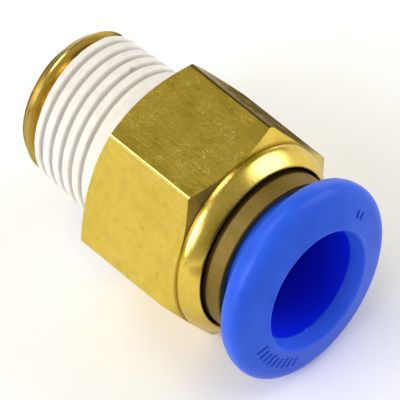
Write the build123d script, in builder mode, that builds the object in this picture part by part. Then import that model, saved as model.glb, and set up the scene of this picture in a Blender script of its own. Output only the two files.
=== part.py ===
from build123d import *
import math
import os

# Straight male push to connect fitting: 10 mm tube to R 1/4 taper thread.
# Millimetres. +X runs along the fitting's axis, from the thread to the tube
# port; +Z is square to a pair of hexagon flats. The origin is on the axis, at
# the hexagon's shoulder face on the thread side.
# Turned profiles are lists of (x, radius), drawn on XY and revolved about X.

# ------------------------------------------------------- shared dimensions
CUT_R = 9.0                # radius of cutters that clear the whole thread

# hexagon and collar
HEX_AF = 17.0              # across flats
HEX_CORNER_R = HEX_AF / math.sqrt(3)
HEX_EDGE_R = 0.35          # rounding of the six long edges
HEX_CHAMFER_SLOPE = math.tan(math.radians(30))
HEX_CORNER_START = 0.76    # chamfer runout on the thread side
HEX_CORNER_END = 10.88     # chamfer runout on the collar side
HEX_TURNING_R = 11.0       # clear of the hexagon's corners
COLLAR_R = 8.45
HEX_FRONT_X = HEX_CORNER_END + (HEX_CORNER_R - COLLAR_R) * HEX_CHAMFER_SLOPE
COLLAR_OVERLAP = 1.0       # how far the collar reaches back into the hexagon
COLLAR_LIP_X = 11.95       # start of the rolled lip
BODY_END_X = 13.60
BODY_END_R = 7.42
LIP_BORE_R = 7.20          # the lip closes in front of the guide ring's shoulder

# R 1/4 taper thread (ISO 7-1)
PITCH = 1.337
THREAD_DEPTH = 0.856
THREAD_END_X = -11.2
CREST_R_END = 6.391        # crest radius at the small end
TAPER = 1.0 / 32.0         # radius per millimetre of length
THREAD_HALF_ANGLE = math.degrees(math.atan(TAPER))
THREAD_PHASE_X = -12.98    # where the crest helix crosses +Z
RIDGE_TURNS = range(1, 11)
CREST_HALF_W = 0.12
ROOT_HALF_W = 0.555
END_FACE_R = 5.87
END_CHAMFER_X = -10.25
CORE_END_X = 1.5           # the core runs on into the hexagon
THREAD_CUT_X = 0.6         # trims the core and the ridge inside the hexagon

# dry sealant coat on the thread
COAT_START_X = -9.20
COAT_END_X = -0.01
COAT_INNER_R = 5.3         # inside the thread root; the body is cut away later
COAT_THICKNESS = 0.12
COAT_GROOVE_DEPTH = 0.40
COAT_ROOT_HALF_W = 0.60
COAT_CREST_HALF_W = 0.40
COAT_FILL_X = -1.55        # filled up smooth from here to the hexagon
COAT_TURNS = range(2, 9)

# bores, from the thread to the tube port
FLOW_BORE_R = 3.8
FLOW_CHAMFER = 0.4
SOCKET_AF = 8.0            # internal wrench socket
SOCKET_START_X = -5.2
TUBE_STOP_X = 0.6
TUBE_BORE_R = 5.1          # 10 mm tube with clearance
SEAL_START_X = 2.6
SEAL_BORE_R = 7.1
GUIDE_START_X = 6.15
GUIDE_BORE_R = 7.5

# guide ring
GUIDE_NECK_X = 12.4
GUIDE_END_X = 15.6
GUIDE_NECK_R = 7.05
GUIDE_STEM_R = 6.33
CHUCK_ROOM_R = 6.85
CONE_SLOPE = 0.62          # guide ring and chuck cones, radius per millimetre
CONE_GAP = 0.15            # axial gap between the two cones

# chuck
CHUCK_TIP_X = 8.2
CHUCK_HEAD_X = 9.3
CHUCK_END_X = 13.5
CHUCK_HEAD_R = 6.75
CHUCK_BORE_R = 5.27
CHUCK_NECK_R = 5.62
CHUCK_BEAD_R = 5.86
CHUCK_SLOTS = 8
SLOT_W = 0.7
SLOT_END_X = 11.2
SLOT_OVERRUN = 0.5         # start of the slot cutters before the chuck's tip

# claws
CLAW_TIP_X = 8.55
CLAW_TIP_R = 4.86
CLAW_ROOT_X = CLAW_TIP_X + 0.78
CLAW_ROOT_R = CLAW_TIP_R + 1.22
CLAW_GAP_W = 1.9
CLAW_GAP_START_X = 8.0
CLAW_GAP_LENGTH = 2.0

# backup ring and tube seal
BACKUP_START_X = 5.1
BACKUP_OUTER_R = SEAL_BORE_R - 0.05
BACKUP_BORE_R = 5.30
SEAL_END_X = 5.08

# release button
STEM_R = 6.25
STEM_BORE_R = 5.68
STEM_START_X = 11.35
STEM_GROOVE_R = 5.93       # groove inside the stem, around the chuck's bead
BUTTON_BACK_X = 17.45
BUTTON_BACK_R = 8.58
BUTTON_MAX_R = 8.86
BUTTON_EDGE_X = 19.68      # where the rounded edge meets the face
BUTTON_EDGE_R = 8.0
BUTTON_FACE_X = 20.52
MOUTH_START_X = 19.05      # lead-in cone of the tube hole
MOUTH_R = 5.42


# ------------------------------------------------------------ thread helpers
def crest_r(x):
    """Thread crest radius at a station on the axis."""
    return CREST_R_END + (x - THREAD_END_X) * TAPER


def root_r(x):
    """Thread root radius at a station on the axis."""
    return crest_r(x) - THREAD_DEPTH


def coat_floor_r(x):
    """Bottom of the coat's own groove at a station on the axis."""
    return crest_r(x) + COAT_THICKNESS - COAT_GROOVE_DEPTH


def turn_path(turn, radius_at):
    """One turn of the helix, on the cone that radius_at describes."""
    x = THREAD_PHASE_X + turn * PITCH
    with BuildLine() as line:
        Helix(pitch=PITCH, height=PITCH, radius=radius_at(x), center=(x, 0, 0),
              direction=(1, 0, 0), cone_angle=THREAD_HALF_ANGLE)
    return line.line


def turn_plane(path):
    """Section plane at the start of a turn: local X is radial."""
    start = path @ 0
    radial = Vector(0, start.Y, start.Z).normalized()
    return Plane(origin=start, x_dir=radial, z_dir=path % 0)


def sweep_ridge(turns, radius_at, flank):
    """A helical ridge, swept turn by turn along the cone of radius_at.

    flank lists (height, half width) from below the floor up to the crest;
    it is mirrored to close the section.
    """
    section = [(height, -half_w) for height, half_w in flank] + flank[::-1]
    parts = []
    for turn in turns:
        path = turn_path(turn, radius_at)
        with BuildPart() as ridge_turn:
            with BuildSketch(turn_plane(path)):
                with BuildLine():
                    Polyline(*section, close=True)
                make_face()
            sweep(path=path, is_frenet=True)
        parts.append(ridge_turn.part)
    return parts


# ----------------------------------------------------------------- hex body
def build_thread_end():
    """The cone under the thread, its ridge and the lead-in chamfer."""
    # the ridge starts past the small end and runs on into the hexagon
    ridge_turns = sweep_ridge(RIDGE_TURNS, root_r, [
        (-0.15, ROOT_HALF_W), (0, ROOT_HALF_W),
        (THREAD_DEPTH - 0.05, CREST_HALF_W + 0.03), (THREAD_DEPTH, CREST_HALF_W),
    ])
    core_runout_x = THREAD_END_X + 1.0
    cutter_x = THREAD_END_X - 3.5
    with BuildPart() as thread_end:
        with BuildSketch(Plane.XY):
            with BuildLine():
                Polyline((THREAD_END_X, 0), (THREAD_END_X, END_FACE_R - 0.12),
                         (THREAD_END_X + 0.12, END_FACE_R),
                         (THREAD_END_X + 0.5, END_FACE_R + 0.2),
                         (core_runout_x, root_r(core_runout_x)),
                         (CORE_END_X, root_r(CORE_END_X)), (CORE_END_X, 0), close=True)
            make_face()
        revolve(axis=Axis.X)
        add(ridge_turns)
        # lead-in chamfer
        with BuildSketch(Plane.XY):
            with BuildLine():
                Polyline((cutter_x, CUT_R), (cutter_x, 0), (THREAD_END_X, 0),
                         (THREAD_END_X, END_FACE_R),
                         (END_CHAMFER_X, crest_r(END_CHAMFER_X) + 0.05),
                         (END_CHAMFER_X, CUT_R), close=True)
            make_face()
        revolve(axis=Axis.X, mode=Mode.SUBTRACT)
        with BuildSketch(Plane.YZ.offset(THREAD_CUT_X)):
            Circle(CUT_R)
        extrude(amount=4, mode=Mode.SUBTRACT)
    return thread_end.part


def build_hex_body():
    """Hexagon, collar and threaded end, with all the bores."""
    thread_end = build_thread_end()
    collar_start_x = HEX_FRONT_X - COLLAR_OVERLAP
    lip_mouth_r = LIP_BORE_R + 0.16
    with BuildPart() as body:
        with BuildSketch(Plane.YZ) as hex_profile:
            RegularPolygon(radius=HEX_AF / 2, side_count=6, major_radius=False)
            fillet(hex_profile.vertices(), HEX_EDGE_R)
        extrude(amount=HEX_FRONT_X)
        # both end chamfers of the hexagon, turned at 30 degrees
        with BuildSketch(Plane.XY):
            with BuildLine():
                Polyline((0, 0), (0, HEX_CORNER_R - HEX_CORNER_START / HEX_CHAMFER_SLOPE),
                         (HEX_CORNER_START, HEX_CORNER_R),
                         (HEX_CORNER_START, HEX_TURNING_R), (HEX_CORNER_END, HEX_TURNING_R),
                         (HEX_CORNER_END, HEX_CORNER_R),
                         (HEX_FRONT_X, COLLAR_R), (HEX_FRONT_X, 0), close=True)
            make_face()
        revolve(axis=Axis.X, mode=Mode.INTERSECT)
        # collar with its rolled front lip
        with BuildSketch(Plane.XY):
            with BuildLine():
                Line((collar_start_x, 0), (collar_start_x, COLLAR_R))
                Line((collar_start_x, COLLAR_R), (COLLAR_LIP_X, COLLAR_R))
                Spline((COLLAR_LIP_X, COLLAR_R), (12.50, 8.28), (13.05, 7.93), (13.42, 7.64),
                       (BODY_END_X, BODY_END_R), tangents=[(1, 0), (0.25, -1)])
                Line((BODY_END_X, BODY_END_R), (BODY_END_X, 0))
                Line((BODY_END_X, 0), (collar_start_x, 0))
            make_face()
        revolve(axis=Axis.X)
        add(thread_end)
        # flow bore, tube stop, tube bore, seal chamber and guide ring bore
        with BuildSketch(Plane.XY):
            with BuildLine():
                Polyline((THREAD_END_X - 1, 0), (THREAD_END_X - 1, FLOW_BORE_R + FLOW_CHAMFER),
                         (THREAD_END_X, FLOW_BORE_R + FLOW_CHAMFER),
                         (THREAD_END_X + FLOW_CHAMFER, FLOW_BORE_R),
                         (TUBE_STOP_X, FLOW_BORE_R), (TUBE_STOP_X, TUBE_BORE_R),
                         (SEAL_START_X, TUBE_BORE_R), (SEAL_START_X, SEAL_BORE_R),
                         (GUIDE_START_X, SEAL_BORE_R), (GUIDE_START_X, GUIDE_BORE_R),
                         (GUIDE_NECK_X + 0.02, GUIDE_BORE_R),
                         (GUIDE_NECK_X + 0.32, LIP_BORE_R),
                         (BODY_END_X - 0.16, LIP_BORE_R),
                         (BODY_END_X - 0.05, LIP_BORE_R + 0.06),
                         (BODY_END_X, lip_mouth_r),
                         (BODY_END_X + 1, lip_mouth_r), (BODY_END_X + 1, 0), close=True)
            make_face()
        revolve(axis=Axis.X, mode=Mode.SUBTRACT)
        # internal wrench socket, reached through the tube port
        with BuildSketch(Plane.YZ.offset(SOCKET_START_X)):
            RegularPolygon(radius=SOCKET_AF / 2, side_count=6, major_radius=False)
        extrude(amount=TUBE_STOP_X + 0.5 - SOCKET_START_X, mode=Mode.SUBTRACT)
    return body.part


# ----------------------------------------------------------- thread sealant
def build_thread_sealant(hex_body):
    """Coat that is full over the crests, sunk between them, and filled up
    smooth next to the hexagon."""
    coat_turns = sweep_ridge(COAT_TURNS, coat_floor_r, [
        (-0.08, COAT_ROOT_HALF_W), (0, COAT_ROOT_HALF_W),
        (COAT_GROOVE_DEPTH - 0.07, COAT_CREST_HALF_W + 0.07),
        (COAT_GROOVE_DEPTH, COAT_CREST_HALF_W),
    ])
    fill_start_x = COAT_FILL_X - 0.5
    with BuildPart() as coat:
        with BuildSketch(Plane.XY):
            with BuildLine():
                Polyline((COAT_START_X, COAT_INNER_R), (COAT_START_X, coat_floor_r(COAT_START_X)),
                         (fill_start_x, coat_floor_r(fill_start_x)),
                         (COAT_FILL_X, crest_r(COAT_FILL_X) + COAT_THICKNESS + 0.02),
                         (COAT_END_X, crest_r(0) + COAT_THICKNESS + 0.12),
                         (COAT_END_X, COAT_INNER_R), close=True)
            make_face()
        revolve(axis=Axis.X)
        add(coat_turns)
        # trim the turns that run past the coat's start
        with BuildSketch(Plane.YZ.offset(COAT_START_X)):
            Circle(CUT_R)
        extrude(amount=-3, mode=Mode.SUBTRACT)
        add(hex_body, mode=Mode.SUBTRACT)
    return coat.part


# ------------------------------------------------------------- turned rings
def turn_ring(profile):
    """Ring revolved from a closed list of (x, radius)."""
    with BuildPart() as ring:
        with BuildSketch(Plane.XY):
            with BuildLine():
                Polyline(*profile, close=True)
            make_face()
        revolve(axis=Axis.X)
    return ring.part


def build_guide_ring():
    """Ring around the chuck and the button's stem, with a cone inside."""
    cone_ref_x = CHUCK_HEAD_X + CONE_GAP     # where the cone has the chuck head's radius
    cone_start_x = cone_ref_x - (CHUCK_ROOM_R - CHUCK_HEAD_R) / CONE_SLOPE
    cone_end_x = cone_ref_x + (CHUCK_HEAD_R - GUIDE_STEM_R) / CONE_SLOPE
    return turn_ring([
        (GUIDE_START_X, CHUCK_ROOM_R), (GUIDE_START_X, GUIDE_BORE_R - 0.2),
        (GUIDE_START_X + 0.2, GUIDE_BORE_R), (GUIDE_NECK_X - 0.25, GUIDE_BORE_R),
        (GUIDE_NECK_X, GUIDE_BORE_R - 0.25), (GUIDE_NECK_X, GUIDE_NECK_R),
        (GUIDE_END_X - 0.08, GUIDE_NECK_R), (GUIDE_END_X, GUIDE_NECK_R - 0.08),
        (GUIDE_END_X, GUIDE_STEM_R + 0.1), (GUIDE_END_X - 0.1, GUIDE_STEM_R),
        (cone_end_x, GUIDE_STEM_R), (cone_start_x, CHUCK_ROOM_R),
    ])


def build_backup_ring():
    """Ring between the tube seal and the guide ring."""
    return turn_ring([
        (BACKUP_START_X, 5.60), (BACKUP_START_X, BACKUP_OUTER_R),
        (GUIDE_START_X, BACKUP_OUTER_R), (GUIDE_START_X, 5.50),
        (GUIDE_START_X - 0.2, BACKUP_BORE_R), (5.4, BACKUP_BORE_R),
    ])


# ------------------------------------------------------- claws and the chuck
def build_lock_claws():
    """Sloping claws, a turned cone cut apart by radial gaps."""
    with BuildPart() as claws:
        with BuildSketch(Plane.XY):
            with BuildLine():
                Polyline((CLAW_TIP_X, CLAW_TIP_R), (CLAW_ROOT_X, CLAW_ROOT_R),
                         (CLAW_ROOT_X + 0.27, CLAW_ROOT_R - 0.12),
                         (CLAW_TIP_X + 0.22, CLAW_TIP_R + 0.08), close=True)
            make_face()
        revolve(axis=Axis.X)
        with BuildSketch(Plane.YZ.offset(CLAW_GAP_START_X)):
            with PolarLocations(5.5, CHUCK_SLOTS):
                Rectangle(5.0, CLAW_GAP_W)
        extrude(amount=CLAW_GAP_LENGTH, mode=Mode.SUBTRACT)
    return claws.part


def build_chuck(lock_claws):
    """Slotted chuck with a coned head, a bead near its end and claw seats."""
    head_end_x = CHUCK_HEAD_X + (CHUCK_HEAD_R - CHUCK_NECK_R) / CONE_SLOPE
    with BuildPart() as chuck:
        with BuildSketch(Plane.XY):
            with BuildLine():
                Polyline((CHUCK_TIP_X, CHUCK_BORE_R + 0.15), (CHUCK_TIP_X, CHUCK_HEAD_R - 0.3),
                         (CHUCK_TIP_X + 0.3, CHUCK_HEAD_R), (CHUCK_HEAD_X, CHUCK_HEAD_R),
                         (head_end_x, CHUCK_NECK_R), (12.45, CHUCK_NECK_R),
                         (12.62, CHUCK_BEAD_R), (13.0, CHUCK_BEAD_R),
                         (CHUCK_END_X, CHUCK_NECK_R - 0.1),
                         (CHUCK_END_X, CHUCK_BORE_R + 0.15), (CHUCK_END_X - 0.15, CHUCK_BORE_R),
                         (CHUCK_TIP_X + 0.15, CHUCK_BORE_R), close=True)
            make_face()
        revolve(axis=Axis.X)
        with BuildSketch(Plane.YZ.offset(CHUCK_TIP_X - SLOT_OVERRUN)):
            with PolarLocations(6.0, CHUCK_SLOTS):
                Rectangle(4.0, SLOT_W)
        extrude(amount=SLOT_END_X - CHUCK_TIP_X + SLOT_OVERRUN, mode=Mode.SUBTRACT)
        add(lock_claws, mode=Mode.SUBTRACT)
    return chuck.part


# ---------------------------------------------------------------- tube seal
def build_tube_seal():
    """Elastic sleeve with rounded outer corners and a rounded lip inside
    that closes on the tube."""
    with BuildPart() as seal:
        with BuildSketch(Plane.XY):
            with BuildLine():
                # outside, rounded at both ends
                Line((SEAL_START_X, 5.7), (SEAL_START_X, 6.8))
                ThreePointArc((SEAL_START_X, 6.8), (2.75, 7.03), (3.0, SEAL_BORE_R))
                Line((3.0, SEAL_BORE_R), (4.75, SEAL_BORE_R))
                ThreePointArc((4.75, SEAL_BORE_R), (4.99, 7.0), (SEAL_END_X, 6.8))
                # inside, with the lip
                Polyline((SEAL_END_X, 6.8), (SEAL_END_X, 5.8), (4.6, 5.5), (4.25, 5.05))
                ThreePointArc((4.25, 5.05), (3.85, 4.88), (3.45, 5.05))
                Polyline((3.45, 5.05), (3.1, 5.5), (SEAL_START_X, 5.7))
            make_face()
        revolve(axis=Axis.X)
    return seal.part


# ----------------------------------------------------------- release button
def build_release_button():
    """Flanged button whose stem reaches back around the chuck."""
    back_corner = (BUTTON_BACK_X, BUTTON_BACK_R - 0.18)
    side_start = (BUTTON_BACK_X + 0.17, BUTTON_BACK_R + 0.03)
    face_edge = (BUTTON_FACE_X - 0.10, 5.78)
    mouth_edge = (BUTTON_FACE_X - 0.09, MOUTH_R)
    with BuildPart() as button:
        with BuildSketch(Plane.XY):
            with BuildLine():
                # inner wall, from the mouth back to the stem's end, then the stem
                Polyline((MOUTH_START_X, TUBE_BORE_R), (13.72, TUBE_BORE_R),
                         (13.62, STEM_BORE_R), (13.32, STEM_GROOVE_R), (12.4, STEM_GROOVE_R),
                         (12.2, STEM_BORE_R), (STEM_START_X, STEM_BORE_R),
                         (STEM_START_X, STEM_R - 0.12), (STEM_START_X + 0.3, STEM_R),
                         (BUTTON_BACK_X, STEM_R), back_corner)
                # rounded back corner of the flange, its side and its face
                ThreePointArc(back_corner, (BUTTON_BACK_X + 0.05, BUTTON_BACK_R - 0.05),
                              side_start)
                Spline(side_start, (18.05, BUTTON_MAX_R - 0.08), (18.60, BUTTON_MAX_R),
                       (19.06, BUTTON_MAX_R - 0.11), (19.42, 8.44),
                       (BUTTON_EDGE_X, BUTTON_EDGE_R), tangents=[(1, 0.40), (0.34, -1)])
                Line((BUTTON_EDGE_X, BUTTON_EDGE_R), face_edge)
                ThreePointArc(face_edge, (BUTTON_FACE_X, 5.60), mouth_edge)
                Line(mouth_edge, (MOUTH_START_X, TUBE_BORE_R))
            make_face()
        revolve(axis=Axis.X)
    return button.part


# -------------------------------------------------------------------- export
hex_body = build_hex_body()
lock_claws = build_lock_claws()
pieces = {
    "hex_body": hex_body,
    "thread_sealant": build_thread_sealant(hex_body),
    "guide_ring": build_guide_ring(),
    "lock_claws": lock_claws,
    "chuck": build_chuck(lock_claws),
    "backup_ring": build_backup_ring(),
    "tube_seal": build_tube_seal(),
    "release_button": build_release_button(),
}

os.makedirs("parts", exist_ok=True)
for name, part in pieces.items():
    part.label = name
    export_step(part, f"parts/{name}.step")
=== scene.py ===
"""A brass push-in tube fitting lying on pale paper.

The fitting's axis is X: the sealed thread points to -X, the hexagon is in the middle and the
blue release ring, where the tube goes in, faces +X. Z is up. Angles round the axis run from
+Y towards +Z. Shapes are given in millimetres; the stage, the lights and the camera are in
metres unless they are multiplied by MM.
"""
import math
from collections import namedtuple

import bmesh
import bpy
import numpy as np
from mathutils import Matrix, Vector
from mathutils import noise as mnoise


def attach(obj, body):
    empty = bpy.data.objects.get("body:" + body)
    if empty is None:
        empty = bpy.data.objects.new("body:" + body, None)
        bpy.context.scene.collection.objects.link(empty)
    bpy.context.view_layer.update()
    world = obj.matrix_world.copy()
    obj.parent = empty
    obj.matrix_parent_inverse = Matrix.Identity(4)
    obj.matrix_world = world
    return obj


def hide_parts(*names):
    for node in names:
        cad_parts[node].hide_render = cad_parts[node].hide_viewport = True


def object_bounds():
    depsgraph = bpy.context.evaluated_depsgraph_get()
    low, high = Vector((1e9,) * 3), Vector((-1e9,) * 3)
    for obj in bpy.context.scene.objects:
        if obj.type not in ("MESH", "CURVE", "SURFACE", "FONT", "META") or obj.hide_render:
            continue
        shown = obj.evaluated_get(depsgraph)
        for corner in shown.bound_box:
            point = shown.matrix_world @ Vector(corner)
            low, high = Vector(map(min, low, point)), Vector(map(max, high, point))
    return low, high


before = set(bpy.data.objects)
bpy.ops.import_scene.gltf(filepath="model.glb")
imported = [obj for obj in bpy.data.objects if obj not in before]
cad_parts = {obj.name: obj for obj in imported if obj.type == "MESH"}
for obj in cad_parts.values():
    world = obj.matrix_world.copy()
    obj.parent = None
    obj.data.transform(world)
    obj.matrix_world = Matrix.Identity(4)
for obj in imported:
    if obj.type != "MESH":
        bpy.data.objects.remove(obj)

MM = 0.001
TWO_PI = 2 * math.pi

cad_lo, cad_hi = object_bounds()
FLOOR_Z = cad_lo.z - 0.00002         # just under the lowest point of the fitting

scene = bpy.context.scene

# ------------------------------------------------------------- shader nodes

Place = namedtuple("Place", "vector x y z radius angle")


class Nodes:
    """Builds a node tree. Any value may be a number, a colour or another node's output."""

    def __init__(self, owner):
        owner.use_nodes = True
        self.tree = owner.node_tree
        self.tree.nodes.clear()

    def add(self, kind, **settings):
        node = self.tree.nodes.new(kind)
        for key, value in settings.items():
            setattr(node, key, value)
        return node

    def feed(self, socket, value):
        if isinstance(value, bpy.types.NodeSocket):
            self.tree.links.new(value, socket)
        elif isinstance(value, tuple) and socket.type == "RGBA":
            socket.default_value = (*value, 1.0)
        else:
            socket.default_value = value

    def math(self, operation, *values, clamp=False):
        node = self.add("ShaderNodeMath", operation=operation, use_clamp=clamp)
        for i, value in enumerate(values):
            self.feed(node.inputs[i], value)
        return node.outputs[0]

    def product(self, first, *others):
        for other in others:
            first = self.math("MULTIPLY", first, other)
        return first

    def vary(self, centre, pattern, amount, clamp=False):
        """A value that swings round its centre with a noise pattern."""
        swing = self.product(self.math("SUBTRACT", pattern, 0.5), amount)
        return self.math("ADD", centre, swing, clamp=clamp)

    def ramp(self, value, span, start=0.0, end=1.0, smooth=False):
        """Goes from start to end while value crosses the span, and holds outside it."""
        node = self.add("ShaderNodeMapRange",
                        interpolation_type="SMOOTHSTEP" if smooth else "LINEAR")
        for key, setting in (("Value", value), ("From Min", span[0]), ("From Max", span[1]),
                             ("To Min", start), ("To Max", end)):
            self.feed(node.inputs[key], setting)
        return node.outputs["Result"]

    def mix(self, factor, first, second):
        """Blends two colours."""
        node = self.add("ShaderNodeMix", data_type="RGBA")
        self.feed(node.inputs["Factor"], factor)
        self.feed(node.inputs[6], first)
        self.feed(node.inputs[7], second)
        return node.outputs[2]

    def noise(self, vector, scale=1.0, detail=3.0, roughness=0.5, distortion=0.0):
        node = self.add("ShaderNodeTexNoise")
        for key, value in (("Vector", vector), ("Scale", scale), ("Detail", detail),
                           ("Roughness", roughness), ("Distortion", distortion)):
            self.feed(node.inputs[key], value)
        return node.outputs["Fac"]

    def combine(self, *values):
        node = self.add("ShaderNodeCombineXYZ")
        for socket, value in zip(node.inputs, values):
            self.feed(socket, value)
        return node.outputs[0]

    def split(self, vector):
        node = self.add("ShaderNodeSeparateXYZ")
        self.feed(node.inputs[0], vector)
        return node.outputs

    def coordinates(self, kind):
        return self.add("ShaderNodeTexCoord").outputs[kind]

    def attribute(self, name):
        return self.add("ShaderNodeAttribute", attribute_name=name).outputs["Fac"]

    def position_mm(self):
        node = self.add("ShaderNodeVectorMath", operation="SCALE")
        node.inputs["Scale"].default_value = 1000.0
        self.feed(node.inputs[0], self.coordinates("Object"))
        return node.outputs[0]

    def place(self):
        """Object position in millimetres, with the radius and the angle round the axis."""
        vector = self.position_mm()
        x, y, z = self.split(vector)
        squares = self.math("ADD", self.product(y, y), self.product(z, z))
        return Place(vector, x, y, z, self.math("SQRT", squares), self.math("ARCTAN2", z, y))

    def round_axis(self, place, across, around):
        """Noise coordinates for lines round the axis: fast along the section, slow around."""
        return self.combine(self.product(place.x, across), self.product(place.radius, across),
                            self.product(place.angle, around))

    def bump(self, height, depth_mm, strength=1.0, normal=None):
        node = self.add("ShaderNodeBump")
        node.inputs["Strength"].default_value = strength
        node.inputs["Distance"].default_value = depth_mm * MM
        self.feed(node.inputs["Height"], height)
        if normal is not None:
            self.feed(node.inputs["Normal"], normal)
        return node.outputs["Normal"]

    def surface(self, **inputs):
        """The principled shader and the output. Underscores stand for spaces in input names."""
        shader = self.add("ShaderNodeBsdfPrincipled")
        output = self.add("ShaderNodeOutputMaterial")
        for key, value in inputs.items():
            self.feed(shader.inputs[key.replace("_", " ")], value)
        self.feed(output.inputs["Surface"], shader.outputs[0])


def new_material(name):
    material = bpy.data.materials.new(name)
    return material, Nodes(material)


# ---------------------------------------------------------------- materials

def tinted(color, factors):
    return tuple(c * k for c, k in zip(color, factors))


def turned_share(nodes, place):
    """1 on the body's turned surfaces, 0 on the flats of its hexagon."""
    normal = nodes.add("ShaderNodeNewGeometry").outputs["True Normal"]
    slope = nodes.math("ABSOLUTE", nodes.split(normal)[0])
    ends = nodes.math("MAXIMUM", nodes.ramp(place.x, span=(11.2, 11.7)),
                      nodes.ramp(place.x, span=(-0.3, 0.0), start=1.0, end=0.0))
    return nodes.math("MAXIMUM", nodes.ramp(slope, span=(0.1, 0.3)), ends)


def body_marks_and_shade(nodes, place, color, tint):
    """Stains and painted shade at fixed places on the hexagon body."""
    x, radius = place.x, place.radius
    # the bare turns at the thread's end are duller than the hexagon
    dull = tinted(tint, (0.62, 0.60, 0.75))
    color = nodes.mix(nodes.ramp(x, span=(-8.6, -9.4), end=0.85), color, dull)
    # painted shade: brown in the crease where the collar leaves the hexagon
    crease_shade = nodes.product(nodes.ramp(x, span=(11.45, 11.62)),
                           nodes.ramp(x, span=(11.98, 11.78), end=0.85),
                           nodes.ramp(radius, span=(8.72, 8.52)))
    color = nodes.mix(crease_shade, color, (0.40, 0.24, 0.010))
    # painted shade: dark along the +Y edge of the top flat
    edge = nodes.product(nodes.ramp(radius, span=(9.64, 9.72), end=0.88),
                         nodes.ramp(place.y, span=(4.0, 4.4)),
                         nodes.ramp(place.z, span=(7.8, 8.0)))
    return nodes.mix(edge, color, (0.05, 0.030, 0.006))


def brass_material(name, tint, roughness, stain, flats=False, gap_shade_span=None):
    """Satin brass: turned surfaces carry fine rings, hexagon flats carry marks along X."""
    material, nodes = new_material(name)
    place = nodes.place()
    rings = nodes.noise(nodes.round_axis(place, across=9.0, around=0.35),
                        detail=4.0, roughness=0.62)
    along, across = 0.16, 5.5        # drawing marks: slow along the axis, fast across it
    drawn = nodes.noise(nodes.combine(nodes.product(place.x, along),
                                      nodes.product(place.y, across),
                                      nodes.product(place.z, across)),
                        detail=5.0, roughness=0.65, distortion=0.4)
    blotch = nodes.noise(place.vector, scale=0.42, detail=4.0, roughness=0.6, distortion=0.6)
    mottle = nodes.noise(place.vector, scale=1.25, detail=6.0, roughness=0.62)
    fine = nodes.noise(place.vector, scale=3.2, detail=5.0, roughness=0.7)
    grain = nodes.noise(place.vector, scale=14.0, detail=3.0, roughness=0.6)
    choose = nodes.add("ShaderNodeMix")
    turned = turned_share(nodes, place) if flats else nodes.math("ADD", 1.0, 0.0)
    nodes.feed(choose.inputs["Factor"], turned)
    nodes.feed(choose.inputs[2], drawn)
    nodes.feed(choose.inputs[3], rings)
    lines = choose.outputs[0]

    # thin dark tarnish in blotches, slightly redder or cleaner in spots
    dark = tinted(tint, (0.72, 0.68, 0.45))
    warm = tinted(tint, (1.0, 0.93, 0.75))
    clean = tinted(tint, (1.07, 1.08, 1.35))
    color = tint
    for pattern, span, amount, stain_color in (
            (blotch, (0.42, 0.70), 0.75 * stain, dark),
            (fine, (0.50, 0.72), 0.8 * stain, warm),
            (lines, (0.55, 0.75), 0.30, dark),
            (mottle, (0.56, 0.70), 1.1 * stain, dark),
            (mottle, (0.45, 0.32), 0.9 * stain, clean)):
        color = nodes.mix(nodes.ramp(pattern, span, end=amount), color, stain_color)
    if flats:
        color = body_marks_and_shade(nodes, place, color, tint)
    if gap_shade_span:
        # painted shade in the corner under the collar's lip, where the gap's shadow falls on
        # the ring
        color = nodes.mix(nodes.ramp(place.x, gap_shade_span, end=0.92), color, (0.034, 0.015, 0.002))

    roughness = nodes.vary(roughness, blotch, amount=0.28)
    roughness = nodes.vary(roughness, fine, amount=0.22, clamp=True)
    normal = nodes.bump(lines, depth_mm=0.006)
    normal = nodes.bump(fine, depth_mm=0.006, strength=0.5, normal=normal)
    normal = nodes.bump(mottle, depth_mm=0.005, strength=0.6, normal=normal)
    normal = nodes.bump(grain, depth_mm=0.0018, normal=normal)
    nodes.surface(Base_Color=color, Metallic=1.0, Roughness=roughness, Normal=normal)
    return material


def acetal_finish(nodes, place, roughness):
    """A cloudy colour pattern, and the roughness and normal of moulded acetal."""
    cloud = nodes.noise(place.vector, scale=0.35, detail=3.0, roughness=0.55)
    fine = nodes.noise(place.vector, scale=6.0, detail=4.0, roughness=0.6)
    # faint flow lines left by the mould, round the axis
    flow = nodes.noise(nodes.round_axis(place, across=2.5, around=0.6),
                       detail=3.0, roughness=0.5)
    normal = nodes.bump(flow, depth_mm=0.010, strength=0.5)
    normal = nodes.bump(fine, depth_mm=0.0012, normal=normal)
    return cloud, {"Roughness": nodes.vary(roughness, fine, amount=0.22, clamp=True),
                   "Normal": normal}


def natural_acetal_material(name, light, deep, roughness):
    material, nodes = new_material(name)
    cloud, finish = acetal_finish(nodes, nodes.place(), roughness)
    color = nodes.mix(nodes.ramp(cloud, span=(0.35, 0.65), end=0.5), light, deep)
    nodes.surface(Base_Color=color, IOR=1.48, **finish)
    return material


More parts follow.
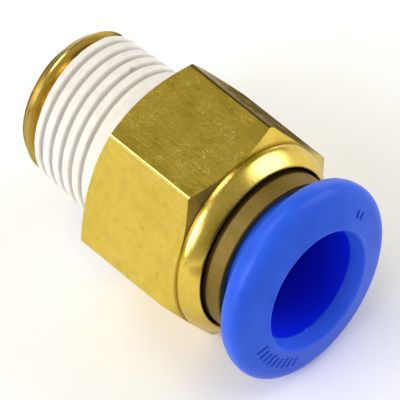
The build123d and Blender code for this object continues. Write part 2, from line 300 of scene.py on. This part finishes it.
def blue_acetal_material(name):
    """Brighter on the outside, with painted light on the mouth's cone and painted shade down
    the tube hole and in the sunk bars.
    """
    material, nodes = new_material(name)
    place = nodes.place()
    x, radius = place.x, place.radius
    cloud, finish = acetal_finish(nodes, place, roughness=0.34)
    color = nodes.mix(nodes.ramp(cloud, span=(0.35, 0.65)),
                      (0.026, 0.112, 0.74), (0.019, 0.092, 0.66))
    # painted light on the cone at the mouth, painted shade down the tube hole and at the hole's
    # far end
    for x_span, radius_span, hole_light_and_shade in (
            ((19.05, 19.15), (5.50, 5.38), (0.036, 0.125, 0.80)),
            ((19.10, 19.0), (5.6, 5.4), (0.003, 0.022, 0.95)),
            ((19.0, 14.5), (5.6, 5.4), (0.006, 0.018, 0.85))):
        inside = nodes.product(nodes.ramp(x, x_span), nodes.ramp(radius, radius_span))
        color = nodes.mix(inside, color, hole_light_and_shade)
    # painted shade in the sunk bars
    bar_shade_strength = 0.75
    color = nodes.mix(nodes.product(nodes.attribute("sunk"), bar_shade_strength),
                      color, (0.006, 0.030, 0.50))
    nodes.surface(Base_Color=color, IOR=1.46, Specular_IOR_Level=0.22,
                  Subsurface_Weight=0.18, Subsurface_Radius=(0.15, 0.35, 1.0),
                  Subsurface_Scale=0.7 * MM, **finish)
    return material


def sealant_material(name):
    """Dry off-white paste, darker in the grooves: dust and a thin coat over the brass, partly
    painted shade.
    """
    material, nodes = new_material(name)
    place = nodes.place()
    cloud = nodes.noise(place.vector, scale=0.9, detail=4.0, roughness=0.6)
    fine = nodes.noise(place.vector, scale=9.0, detail=5.0, roughness=0.65)
    brush = nodes.noise(nodes.round_axis(place, across=5.0, around=1.6),
                        detail=4.0, roughness=0.6)
    # dust and thin coat in the grooves and the chip, partly painted shade
    dirt_and_shade = nodes.product(nodes.attribute("groove"),
                         nodes.ramp(fine, span=(0.3, 0.7), start=0.55, end=1.0))
    color = nodes.mix(nodes.ramp(cloud, span=(0.40, 0.68)),
                      (0.77, 0.745, 0.71), (0.70, 0.675, 0.635))
    color = nodes.mix(nodes.ramp(dirt_and_shade, span=(0.10, 0.9), end=0.85), color, (0.29, 0.25, 0.215))
    normal = nodes.bump(fine, depth_mm=0.020, strength=0.6)
    normal = nodes.bump(brush, depth_mm=0.015, strength=0.6, normal=normal)
    nodes.surface(Base_Color=color, Roughness=0.66, Normal=normal, IOR=1.36,
                  Subsurface_Weight=0.15, Subsurface_Radius=(1.0, 0.9, 0.8),
                  Subsurface_Scale=0.12 * MM)
    return material


def rubber_material(name):
    material, nodes = new_material(name)
    position = nodes.position_mm()
    fine = nodes.noise(position, scale=9.0, detail=5.0, roughness=0.65)
    cloud = nodes.noise(position, scale=0.8, detail=3.0, roughness=0.5)
    smoothest, fine_share = 0.38, 0.3
    nodes.surface(Base_Color=nodes.mix(cloud, (0.018, 0.018, 0.019), (0.045, 0.045, 0.047)),
                  Roughness=nodes.math("ADD", smoothest, nodes.product(fine, fine_share)),
                  Normal=nodes.bump(fine, depth_mm=0.012, strength=0.7))
    return material


def steel_material(name):
    material, nodes = new_material(name)
    lines = nodes.noise(nodes.round_axis(nodes.place(), across=12.0, around=2.0),
                        detail=4.0, roughness=0.6)
    smoothest, line_share = 0.2, 0.25
    nodes.surface(Base_Color=nodes.mix(lines, (0.60, 0.60, 0.61), (0.74, 0.74, 0.75)),
                  Metallic=1.0,
                  Roughness=nodes.math("ADD", smoothest, nodes.product(lines, line_share)),
                  Normal=nodes.bump(lines, depth_mm=0.004, strength=0.8))
    return material


MATERIALS = {
    "hex_body": brass_material("brass_body", tint=(0.83, 0.605, 0.098), roughness=0.22,
                               stain=0.5, flats=True),
    # the guide ring's brass is painted much darker than the body's: painted shade where the
    # collar and the blue ring shelter it
    "guide_ring": brass_material("shaded_brass_ring", tint=(0.25, 0.176, 0.033), roughness=0.58,
                                 stain=0.6, gap_shade_span=(14.08, 13.90)),
    "release_button": blue_acetal_material("blue_acetal"),
    "chuck": natural_acetal_material("natural_acetal", light=(0.80, 0.79, 0.74),
                                     deep=(0.74, 0.73, 0.68), roughness=0.42),
    "backup_ring": natural_acetal_material("natural_acetal_ring", light=(0.78, 0.76, 0.69),
                                           deep=(0.71, 0.69, 0.62), roughness=0.45),
    "thread_sealant": sealant_material("dry_sealant"),
    "tube_seal": rubber_material("nitrile"),
    "lock_claws": steel_material("stainless"),
}

for node_name, cad_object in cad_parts.items():
    cad_object.data.materials.clear()
    cad_object.data.materials.append(MATERIALS[node_name])
    for face in cad_object.data.polygons:
        face.material_index = 0

# -------------------------------------------------------------- mesh helpers


def wobble(x, y, z):
    return mnoise.noise(Vector((x, y, z)))


def smooth(t):
    t = min(1.0, max(0.0, t))
    return t * t * (3 - 2 * t)


def link_object(name, data):
    new = bpy.data.objects.new(name, data)
    scene.collection.objects.link(new)
    return new


def band(first, second, count, flip=False):
    """Quads between two closed rings of vertices, given each ring's first index."""
    faces = []
    for i in range(count):
        j = (i + 1) % count
        if flip:
            faces.append((first + i, first + j, second + j, second + i))
        else:
            faces.append((first + i, second + i, second + j, first + j))
    return faces


def on_axis(x, radius, angle):
    """A vertex from its place along the axis and round it."""
    return (x * MM, radius * math.cos(angle) * MM, radius * math.sin(angle) * MM)


def add_part(name, verts, faces, attribute, values, body, node):
    """A smooth mesh with one value per vertex, moving with body and standing in for node."""
    mesh = bpy.data.meshes.new(name)
    mesh.from_pydata(verts, [], faces)
    mesh.update()
    for face in mesh.polygons:
        face.use_smooth = True
    part = link_object(name, mesh)
    layer = mesh.attributes.new(attribute, "FLOAT", "POINT")
    layer.data.foreach_set("value", np.array(values, np.float32))
    mesh.materials.append(MATERIALS[node])
    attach(part, body)
    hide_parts(node)


# ----------------------------------------------------------- thread sealant
# The coat is brushed on: wide soft crests, narrow grooves that fade out where it was
# filled up against the hexagon, a ragged first edge and small lumps.

THREAD_PITCH = 1.337
THREAD_DEPTH = 0.856
CREST_X = -12.98                     # a crest's middle, at the top of the thread
THREAD_END_X = -11.2
THREAD_END_RADIUS = 6.391            # crest radius at the thread's end
TAPER = 32.0                         # length along X for 1 mm of radius
CREST_HALF, ROOT_START = 0.12, 0.555     # ends of the thread's flank, from the crest's middle

COAT_START, COAT_END = -9.72, -0.012
COAT_SEGMENTS, COAT_ROWS, COAT_INNER_ROWS = 320, 190, 90
COAT_EDGE_X = -9.24                  # mean place of the ragged first edge
CHIP_X, CHIP_ANGLE = -4.5, 1.24


def crest_radius(x):
    return THREAD_END_RADIUS + (x - THREAD_END_X) / TAPER


def crest_distance(x, angle):
    """Distance from the nearest crest's middle, in pitches."""
    turns = (x - CREST_X) / THREAD_PITCH - (angle - math.pi / 2) / TWO_PI
    return abs(turns - round(turns))


def thread_radius(x, angle):
    """The brass thread's own radius under the coat."""
    off = crest_distance(x, angle) * THREAD_PITCH
    if off <= CREST_HALF:
        return crest_radius(x)
    if off >= ROOT_START:
        return crest_radius(x) - THREAD_DEPTH
    return crest_radius(x) - THREAD_DEPTH * (off - CREST_HALF) / (ROOT_START - CREST_HALF)


def coat_outside(x, angle):
    """The coat's outer radius, and its dirt and painted shade from 0 to 1."""
    y, z = math.cos(angle), math.sin(angle)
    # the first edge lies askew and is ragged; the coat rises over 0.20 mm
    edge = (COAT_EDGE_X + 0.26 * math.sin(angle - 2.04)
            + 0.05 * wobble(y * 2.1, z * 2.1, 7.0) + 0.05 * wobble(y * 9, z * 9, 3.0))
    cover = smooth((x - edge) / 0.20)
    # grooves: 0 on the crest, 1 in the groove, of uneven width
    off = crest_distance(x, angle) * 2.0
    width = 0.50 + 0.06 * wobble(y * 3, z * 3, x * 0.8)
    groove = smooth((off - (1.0 - width)) / (width * 0.85))
    # they fade out over 0.8 mm before the hexagon
    fade_x = (-1.95 - 0.75 * (0.5 + 0.5 * math.cos(angle - 1.25))
              + 0.5 * wobble(y * 1.5, z * 1.5, 11.0))
    fade = 1.0 - smooth((x - fade_x) / 0.8)
    depth = (0.30 + 0.05 * wobble(x * 0.9, y * 2.2, z * 2.2)) * fade
    # thicker towards the hexagon, with large and small lumps
    thickness = 0.10 + 0.055 * smooth((x + 9.0) / 5.0) + 0.05 * smooth((x + 2.0) / 1.6)
    lump = 0.020 * wobble(x * 1.3, y * 6.5, z * 6.5)
    lump += 0.010 * wobble(x * 4.0, y * 22, z * 22)
    # a chip on the upper side; 6.7 mm turns its angle into a length
    chip = math.exp(-(((x - CHIP_X) / 0.22) ** 2 + ((angle - CHIP_ANGLE) * 6.7 / 0.26) ** 2))
    radius = (crest_radius(x) + thickness + lump - depth * groove
              - 0.018 * off * off * fade - 0.07 * chip)
    # before the edge the coat hides just inside the brass
    hidden = thread_radius(x, angle) - 0.03
    # the grooves and the chip are darker: dust, thin coat and partly painted shade
    dirt_and_shade = min(1.0, groove * fade * (0.35 + 0.65 * cover) + 1.1 * chip)
    return hidden + cover * (radius - hidden), dirt_and_shade


def coat_inside(x, angle):
    return thread_radius(x, angle) - 0.06, 0.0


def build_sealant():
    """A closed sleeve: outer rings, then inner rings, joined at both ends."""
    verts, dirt_and_shade = [], []
    for row_count, shape in ((COAT_ROWS, coat_outside), (COAT_INNER_ROWS, coat_inside)):
        for row in range(row_count + 1):
            x = COAT_START + (COAT_END - COAT_START) * row / row_count
            for i in range(COAT_SEGMENTS):
                angle = TWO_PI * i / COAT_SEGMENTS
                radius, dirt_and_shade_here = shape(x, angle)
                verts.append(on_axis(x, radius, angle))
                dirt_and_shade.append(dirt_and_shade_here)
    outer = [row * COAT_SEGMENTS for row in range(COAT_ROWS + 1)]
    inner = [(COAT_ROWS + 1 + row) * COAT_SEGMENTS for row in range(COAT_INNER_ROWS + 1)]
    faces = []
    for first, second in zip(outer, outer[1:]):
        faces += band(first, second, COAT_SEGMENTS)
    for first, second in zip(inner, inner[1:]):
        faces += band(first, second, COAT_SEGMENTS, flip=True)
    faces += band(outer[0], inner[0], COAT_SEGMENTS, flip=True)
    faces += band(outer[-1], inner[-1], COAT_SEGMENTS)
    add_part("sealant_coat", verts, faces, "groove", dirt_and_shade, body="body", node="thread_sealant")


build_sealant()

# ------------------------------------------------------------- release ring
# The moulded blue ring, turned up from its section, with small bars sunk in the face
# and a burr at the mouth.

# angle, inner radius and outer radius of each bar
BARS = [(math.radians(193.0 + 5.8 * k), 6.28 if k % 3 else 6.12, 7.18) for k in range(9)]
BARS += [(math.radians(degrees), 6.62, 7.22) for degrees in (28.5, 33.9)]
BAR_DEPTH = 0.13

BURR_X, BURR_ANGLE, BURR_HEIGHT = 19.06, math.radians(259.0), 0.11
HOLE_RADIUS = 5.10

FINE_STEP, COARSE_STEP = math.radians(0.26), math.radians(1.2)
FINE_NEAR_BAR, FINE_NEAR_BURR = math.radians(2.7), math.radians(3.0)


def straight(start, end, step):
    """Evenly spaced points from start to end, without the start."""
    length = math.hypot(end[0] - start[0], end[1] - start[1])
    n = max(1, int(math.ceil(length / step)))
    return [(start[0] + (end[0] - start[0]) * k / n, start[1] + (end[1] - start[1]) * k / n)
            for k in range(1, n + 1)]


def curve(points, start_way, end_way, steps):
    """A smooth curve through points, without the first; the ways are its end directions."""
    points = [np.array(p, float) for p in points]

    def end_tangent(way, chord):
        way = np.array(way, float)
        return way / np.linalg.norm(way) * np.linalg.norm(chord)

    tangents = [end_tangent(start_way, points[1] - points[0])]
    tangents += [(after - before) / 2 for before, after in zip(points, points[2:])]
    tangents.append(end_tangent(end_way, points[-1] - points[-2]))
    out = []
    for i in range(len(points) - 1):
        for k in range(1, steps + 1):
            t = k / steps
            out.append(tuple((2 * t ** 3 - 3 * t * t + 1) * points[i]
                             + (t ** 3 - 2 * t * t + t) * tangents[i]
                             + (-2 * t ** 3 + 3 * t * t) * points[i + 1]
                             + (t ** 3 - t * t) * tangents[i + 1]))
    return out


def ring_section():
    """The section once round, as (x, radius), from the mouth back along the tube hole."""
    section = [(19.05, HOLE_RADIUS)]

    def lines(step, *points):
        for point in points:
            section.extend(straight(section[-1], point, step))

    def bend(steps, start_way, end_way, *points):
        section.extend(curve([section[-1], *points], start_way, end_way, steps))

    # tube hole, the sleeve's inner end, and back along its outside
    lines(0.06, (18.75, HOLE_RADIUS))
    lines(0.7, (13.74, HOLE_RADIUS), (13.70, 5.13), (13.62, 5.68), (13.32, 5.93), (12.4, 5.93),
          (12.2, 5.68), (11.39, 5.68), (11.35, 5.72), (11.35, 6.10), (11.38, 6.14),
          (11.62, 6.245), (11.72, 6.25), (17.36, 6.25))
    # the flange's back, its rounded rim, and the face
    bend(2, (1, 0), (0, 1), (17.42, 6.27), (17.45, 6.34))
    lines(0.5, (17.45, 8.38))
    bend(4, (0, 1), (1, 0.4), (17.49, 8.53), (17.62, 8.61))
    bend(8, (1, 0.40), (0.28, -1), (18.05, 8.78), (18.60, 8.86), (19.10, 8.78), (19.50, 8.48),
         (19.80, 8.02), (19.98, 7.50))
    lines(0.05, (20.42, 5.82))
    # the rounded lip, then the cone down into the mouth
    bend(3, (0.34, -1), (-0.9, -0.3), (20.50, 5.70), (20.52, 5.60), (20.50, 5.48),
         (20.42, 5.415))
    lines(0.07, (19.11, 5.11))
    return section


def angle_between(first, second):
    gap = abs(first - second)
    return min(gap, TWO_PI - gap)


def ring_angles():
    """Angles round the ring, closer together at the bars and the burr."""
    angles = []
    angle = 0.0
    while angle < TWO_PI - 1e-9:
        angles.append(angle)
        near_bar = min(angle_between(angle, bar[0]) for bar in BARS) < FINE_NEAR_BAR
        near_burr = abs(angle - BURR_ANGLE) < FINE_NEAR_BURR
        angle += FINE_STEP if near_bar or near_burr else COARSE_STEP
    return angles


def bar_mark(radius, angle):
    """How deep the bars are sunk at a point of the face, 0 to 1."""
    half_width, side_slope, end_slope, end_inset = 0.085, 0.09, 0.09, 0.02
    mark = 0.0
    for bar_angle, inner, outer in BARS:
        across = angle_between(angle, bar_angle) * radius
        beyond = max(inner - radius, radius - outer)
        mark = max(mark, (1.0 - smooth((across - half_width) / side_slope))
                   * (1.0 - smooth((beyond + end_inset) / end_slope)))
    return mark


def ring_point(x, radius, angle):
    """A point of the moulding, and how far it is sunk in a bar."""
    new_x, new_radius, mark = x, radius, 0.0
    if 5.95 < radius < 7.55 and x > 19.6:            # on the face
        mark = bar_mark(radius, angle)
        new_x -= BAR_DEPTH * mark
    if 18.8 < x < 19.5 and radius < 5.3:             # at the mouth
        new_radius -= BURR_HEIGHT * math.exp(
            -(((x - BURR_X) / 0.11) ** 2
              + ((angle - BURR_ANGLE) * HOLE_RADIUS / 0.13) ** 2))
    if x > 17.4 and radius > 5.3:                    # the flange is not perfectly true
        y, z = math.cos(angle), math.sin(angle)
        new_x += 0.012 * wobble(y * 1.3, z * 1.3, 5.0 + radius * 0.3)
        new_radius += 0.010 * wobble(y * 1.6 + 4.0, z * 1.6, x * 0.4)
    return on_axis(new_x, new_radius, angle), mark


def build_ring():
    section, angles = ring_section(), ring_angles()
    verts, marks, faces = [], [], []
    for x, radius in section:
        for angle in angles:
            vert, mark = ring_point(x, radius, angle)
            verts.append(vert)
            marks.append(mark)
    count = len(angles)
    for k in range(len(section)):
        following = (k + 1) % len(section)
        faces += band(k * count, following * count, count, flip=True)
    add_part("ring_moulding", verts, faces, "sunk", marks,
             body="release_button", node="release_button")


build_ring()

# -------------------------------------------------------------------- stage

FLOOR_CENTRE_X = 0.004
FLOOR_RADII = (0.02, 0.05, 0.12, 0.3, 0.8, 3.0)
FLOOR_SEGMENTS = 96


def floor_material():
    material, nodes = new_material("floor_paper")
    position = nodes.coordinates("Object")
    grain = nodes.noise(position, scale=900.0, detail=3.0, roughness=0.6)
    color = nodes.mix(grain, (0.87, 0.87, 0.90), (0.90, 0.90, 0.93))
    # painted shade: the paper darker towards +X, where the light falls off
    color = nodes.mix(nodes.ramp(nodes.split(position)[0], span=(0.002, 0.045), smooth=True),
                      color, (0.80, 0.80, 0.84))
    # painted shade in reflections: mirrored in the metal the paper is made a little darker than
    # it is straight on
    mirrored = nodes.add("ShaderNodeLightPath").outputs["Is Glossy Ray"]
    color = nodes.mix(mirrored, color, (0.72, 0.72, 0.75))
    nodes.surface(Base_Color=color, Roughness=0.8, Specular_IOR_Level=0.2,
                  Emission_Color=(0.97, 0.97, 1.0), Emission_Strength=0.08)
    return material


def build_floor():
    """A plain disc of paper, in rings round its centre."""
    shape = bmesh.new()
    previous = [shape.verts.new((FLOOR_CENTRE_X, 0, FLOOR_Z))]
    for radius in FLOOR_RADII:
        ring = []
        for i in range(FLOOR_SEGMENTS):
            angle = TWO_PI * i / FLOOR_SEGMENTS
            ring.append(shape.verts.new((FLOOR_CENTRE_X + radius * math.cos(angle),
                                         radius * math.sin(angle), FLOOR_Z)))
        for i in range(FLOOR_SEGMENTS):
            j = (i + 1) % FLOOR_SEGMENTS
            if len(previous) == 1:
                shape.faces.new((previous[0], ring[i], ring[j]))
            else:
                shape.faces.new((previous[i], ring[i], ring[j], previous[j]))
        previous = ring
    mesh = bpy.data.meshes.new("floor")
    shape.to_mesh(mesh)
    shape.free()
    floor = link_object("floor", mesh)
    mesh.materials.append(floor_material())


def card_material(name, x_span, y_span, soft_x, soft_y, color):
    """Matt colour that fades to clear along the card's edges."""
    material, nodes = new_material(name)
    x, y, _ = nodes.split(nodes.coordinates("Object"))

    def inside(value, span, soft):
        return nodes.product(
            nodes.ramp(value, span=(span[0], span[0] + soft[0]), smooth=True),
            nodes.ramp(value, span=(span[1] - soft[1], span[1]), start=1.0, end=0.0,
                       smooth=True))

    cover = nodes.product(inside(x, x_span, soft_x), inside(y, y_span, soft_y))
    matt = nodes.add("ShaderNodeBsdfDiffuse")
    nodes.feed(matt.inputs["Color"], color)
    clear = nodes.add("ShaderNodeBsdfTransparent")
    mixer = nodes.add("ShaderNodeMixShader")
    for socket, value in zip(mixer.inputs, (cover, clear.outputs[0], matt.outputs[0])):
        nodes.feed(socket, value)
    output = nodes.add("ShaderNodeOutputMaterial")
    nodes.feed(output.inputs["Surface"], mixer.outputs[0])
    return material


def build_card(name, x_span, y_span, soft_x, soft_y, color, cells=8):
    """A dark card on the floor. Only reflections see it; it cuts the floor's glare in brass."""
    x0, x1 = x_span
    y0, y1 = y_span
    verts = [(x0 + (x1 - x0) * i / cells, y0 + (y1 - y0) * j / cells, FLOOR_Z + 0.0001)
             for j in range(cells + 1) for i in range(cells + 1)]
    row = cells + 1
    faces = [(j * row + i, j * row + i + 1, (j + 1) * row + i + 1, (j + 1) * row + i)
             for j in range(cells) for i in range(cells)]
    mesh = bpy.data.meshes.new(name)
    mesh.from_pydata(verts, [], faces)
    card = link_object(name, mesh)
    mesh.materials.append(card_material(name, x_span, y_span, soft_x, soft_y, color))
    for kind in ("camera", "diffuse", "shadow", "transmission", "volume_scatter"):
        setattr(card, "visible_" + kind, False)


build_floor()
build_card("card_behind", x_span=(-0.018, 0.006), y_span=(0.0095, 0.034),
           soft_x=(0.010, 0.006), soft_y=(0.001, 0.014), color=(0.03, 0.02, 0.01))
build_card("card_in_front", x_span=(0.034, 0.60), y_span=(-0.10, 0.05),
           soft_x=(0.010, 0.05), soft_y=(0.03, 0.02), color=(0.22, 0.14, 0.02))

# ------------------------------------------------------------------- studio
# Directions are (azimuth from +X towards +Y, elevation) in degrees.

CEILING = (142, 50)
FRONT = (-16, 8)

# direction, full within, gone beyond (degrees off the direction), brightness added
PANELS = (
    ((-152, 44), 6, 40, 0.16),       # broad soft panel over the fitting's left
    ((-97, 32), 9, 31, 5.2),         # key panel, to the camera's left
    ((-178, 58), 4, 19, 4.6),        # high panel past the thread end
    ((63, 29), 10, 31, 3.8),         # panel on the right
    ((126, 9), 3, 18, 1.8),          # low strip behind
    ((178, -3), 4, 34, -0.26),       # shade for the bare thread end
    (CEILING, 8, 44, -0.165),        # dark ceiling over the back
    (FRONT, 10, 36, -0.42),          # dark side of the room, in front
)
DARKEST, ROOM_GAIN = 0.03, 0.86


def direction(azimuth, elevation):
    a, e = math.radians(azimuth), math.radians(elevation)
    return Vector((math.cos(e) * math.cos(a), math.cos(e) * math.sin(a), math.sin(e)))


def build_world():
    world = bpy.data.worlds.new("studio")
    scene.world = world
    nodes = Nodes(world)
    normalize = nodes.add("ShaderNodeVectorMath", operation="NORMALIZE")
    nodes.feed(normalize.inputs[0], nodes.coordinates("Generated"))
    view = normalize.outputs[0]

    def lobe(azimuth_elevation, inner, outer, value=1.0):
        """A soft round patch of the room, between two angles off its direction."""
        dot = nodes.add("ShaderNodeVectorMath", operation="DOT_PRODUCT")
        nodes.feed(dot.inputs[0], view)
        dot.inputs[1].default_value = direction(*azimuth_elevation).normalized()
        span = (math.cos(math.radians(outer)), math.cos(math.radians(inner)))
        return nodes.ramp(dot.outputs["Value"], span, end=value, smooth=True)

    total = nodes.ramp(nodes.split(view)[2], span=(-0.05, 0.40), start=0.58, end=0.44,
                       smooth=True)
    for panel in PANELS:
        total = nodes.math("ADD", total, lobe(*panel))
    total = nodes.product(nodes.math("MAXIMUM", total, DARKEST), ROOM_GAIN)
    tone = nodes.mix(lobe(CEILING, inner=8, outer=44), (1.0, 1.0, 1.0), (1.0, 0.97, 0.55))
    tone = nodes.mix(lobe(FRONT, inner=14, outer=38), tone, (1.0, 0.74, 0.14))
    # mirrored straight in the metal, the brightest panels burn out to white
    mirrored = nodes.add("ShaderNodeLightPath").outputs["Is Glossy Ray"]
    burnt = nodes.product(mirrored, nodes.ramp(total, span=(1.6, 3.0)))
    background = nodes.add("ShaderNodeBackground")
    nodes.feed(background.inputs["Color"], nodes.mix(burnt, tone, (1.0, 1.0, 2.0)))
    nodes.feed(background.inputs["Strength"], total)
    output = nodes.add("ShaderNodeOutputWorld")
    nodes.feed(output.inputs["Surface"], background.outputs[0])


def add_fill(name, towards, distance, size, power):
    """A soft area light that leaves no mirror image in the brass."""
    data = bpy.data.lights.new(name, "AREA")
    data.shape = "RECTANGLE"
    data.size, data.size_y = size
    data.energy = power
    lamp = bpy.data.objects.new(name, data)
    towards = towards.normalized()
    lamp.location = Vector((0.005, 0, 0)) + towards * distance
    lamp.rotation_mode = "QUATERNION"
    lamp.rotation_quaternion = towards.to_track_quat("Z", "Y")
    scene.collection.objects.link(lamp)
    lamp.visible_glossy = False


build_world()
add_fill("top_fill", Vector((0.0, 0.0, 1.0)), distance=0.70, size=(0.60, 0.60), power=0.45)
add_fill("low_fill", direction(-72, 5), distance=0.60, size=(0.30, 0.12), power=0.13)

# ------------------------------------------------------------------- camera
# The camera looks down on the fitting from the tube side. Its picture plane is tipped a
# little from square to the line of sight, as on a view camera, which makes the picture
# slightly taller. The tip comes from the scaled mount it hangs on.

AIM = Vector((3.990161, 0.916294, -2.403005)) * MM       # seen at the picture's centre
PICTURE_WIDTH = 34.795145 * MM                           # width seen at the aim
# The camera's right and up axes as seen square to the line of sight. The up axis is
# shorter than 1 because it is tipped.
PICTURE_RIGHT = (0.68043095, 0.71951501, -0.13896721)
PICTURE_UP = (-0.46641983, 0.53110874, 0.58774109)
LENS, SENSOR = 1000.0, 36.0


def build_camera():
    data = bpy.data.cameras.new("camera")
    data.type = "PERSP"
    data.lens = LENS
    data.sensor_width = SENSOR
    data.clip_start = 0.01
    data.clip_end = 10.0
    camera = link_object("camera", data)
    mount = link_object("camera_mount", None)

    back = Vector(PICTURE_RIGHT).cross(Vector(PICTURE_UP)).normalized()
    up = np.array(PICTURE_UP)
    up = up + np.array(back) * math.sqrt(1.0 - float(up @ up))
    axes = np.array([PICTURE_RIGHT, up, back]).T
    # split the skewed axes into the mount's turn and scale and the camera's own turn
    mount_turn, scale, camera_turn = np.linalg.svd(axes)
    if np.linalg.det(mount_turn) < 0:
        mount_turn[:, -1] *= -1
        camera_turn[-1, :] *= -1
    mount.location = AIM + back * (PICTURE_WIDTH * LENS / SENSOR)
    mount.scale = scale.tolist()
    camera.parent = mount
    for item, turn in ((mount, mount_turn), (camera, camera_turn)):
        item.rotation_mode = "QUATERNION"
        item.rotation_quaternion = Matrix(turn.tolist()).to_quaternion()
    scene.camera = camera


build_camera()

# ------------------------------------------------------------------- output

scene.view_settings.view_transform = "Standard"
scene.view_settings.look = "None"
scene.view_settings.exposure = 0.0
scene.view_settings.gamma = 1.0

bpy.context.view_layer.update()
